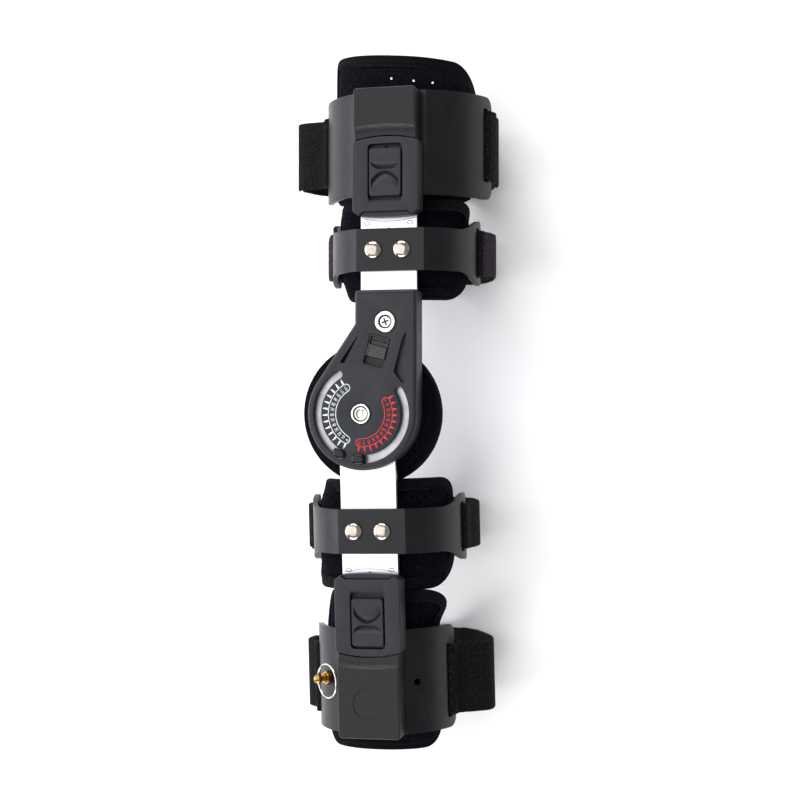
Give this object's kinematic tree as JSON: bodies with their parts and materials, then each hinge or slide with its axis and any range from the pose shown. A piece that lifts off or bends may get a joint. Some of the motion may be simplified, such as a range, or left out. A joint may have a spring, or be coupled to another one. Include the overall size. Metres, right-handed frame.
{
  "type": "hinged elbow brace",
  "caption": "Hinged elbow brace with a range-of-motion dial, two telescoping metal bars, padded arm cuffs and hook-and-loop straps.",
  "frame": {"origin": "middle of the brace's outline on the surface that it rests on, under its strap loops", "axes": "+Y towards the upper-arm end, +Z out of the dial, +X to the right seen from the dial"},
  "size_m": [0.1194, 0.3766, 0.1015],
  "materials": {
    "cover_plastic": "fine-textured charcoal ABS",
    "wing_plastic": "smooth satin charcoal plastic",
    "button_plastic": "black, slightly glossy",
    "bar_aluminium": "satin anodised, pale",
    "nickel_steel": "nickel-plated steel",
    "ring_steel": "bright steel wire",
    "brass": "turned brass",
    "pad_fabric": "perforated black velour over foam",
    "strap_webbing": "black hook-and-loop webbing"
  },
  "bodies": {
    "upper_arm": {"upper_bar": "bar_aluminium", "hinge_cover": "cover_plastic", "hinge_back_plate": "cover_plastic", "hinge_screw": "nickel_steel", "hinge_rivet": "nickel_steel", "hinge_pad": "pad_fabric", "upper_band": "wing_plastic", "upper_rivet_left": "nickel_steel", "upper_rivet_right": "nickel_steel", "upper_band_pad": "pad_fabric", "upper_band_strap": "strap_webbing"},
    "upper_cuff": {"upper_shell": "wing_plastic", "upper_lock_cover": "cover_plastic", "upper_shell_pad": "pad_fabric", "upper_shell_strap": "strap_webbing"},
    "upper_lock": {"upper_lock_slider": "cover_plastic"},
    "quick_lock": {"quick_lock_slider": "button_plastic"},
    "extension_limit": {"extension_stop": "button_plastic"},
    "flexion_limit": {"flexion_stop": "button_plastic"},
    "forearm": {"lower_bar": "bar_aluminium", "lower_band": "wing_plastic", "lower_rivet_left": "nickel_steel", "lower_rivet_right": "nickel_steel", "lower_band_pad": "pad_fabric", "lower_band_strap": "strap_webbing"},
    "forearm_cuff": {"lower_shell": "wing_plastic", "lower_lock_cover": "cover_plastic", "lower_shell_pad": "pad_fabric", "lower_shell_strap": "strap_webbing", "plunger_sleeve": "brass"},
    "lower_lock": {"lower_lock_slider": "cover_plastic"},
    "plunger": {"plunger_pin": "brass"},
    "ring": {"pull_ring": "ring_steel"}
  },
  "joints": [
    {"name": "elbow_hinge", "type": "hinge", "parent": "upper_arm", "child": "forearm", "pos_m": [-0.00469, -0.00642, 0.092], "axis": [0, 0, -1], "range_deg": [0, 120]},
    {"name": "upper_telescope", "type": "slide", "parent": "upper_arm", "child": "upper_cuff", "axis": [0, 1, 0], "range_m": [0, 0.04]},
    {"name": "lower_telescope", "type": "slide", "parent": "forearm", "child": "forearm_cuff", "axis": [0.0262, -0.9997, 0], "range_m": [0, 0.04]},
    {"name": "upper_lock_slide", "type": "slide", "parent": "upper_cuff", "child": "upper_lock", "axis": [0, 1, 0], "range_m": [-0.0019, 0.0021]},
    {"name": "lower_lock_slide", "type": "slide", "parent": "forearm_cuff", "child": "lower_lock", "axis": [0.0262, -0.9997, 0], "range_m": [-0.0029, 0.0011]},
    {"name": "quick_lock_slide", "type": "slide", "parent": "upper_arm", "child": "quick_lock", "axis": [-0.2554, -0.9668, 0], "range_m": [0, 0.0044]},
    {"name": "extension_stop_turn", "type": "hinge", "parent": "upper_arm", "child": "extension_limit", "pos_m": [-0.00469, -0.00642, 0.092], "axis": [0, 0, -1], "range_deg": [0, 119]},
    {"name": "flexion_stop_turn", "type": "hinge", "parent": "upper_arm", "child": "flexion_limit", "pos_m": [-0.00469, -0.00642, 0.092], "axis": [0, 0, 1], "range_deg": [0, 122]},
    {"name": "plunger_pull", "type": "slide", "parent": "forearm_cuff", "child": "plunger", "axis": [-0.6689, -0.0175, 0.7431], "range_m": [0, 0.0025], "stiffness_N_per_m": 300},
    {"name": "ring_swing", "type": "hinge", "parent": "plunger", "child": "ring", "pos_m": [-0.03184, -0.15068, 0.0883], "axis": [0.0262, -0.9997, 0], "range_deg": [0, 100]}
  ]
}
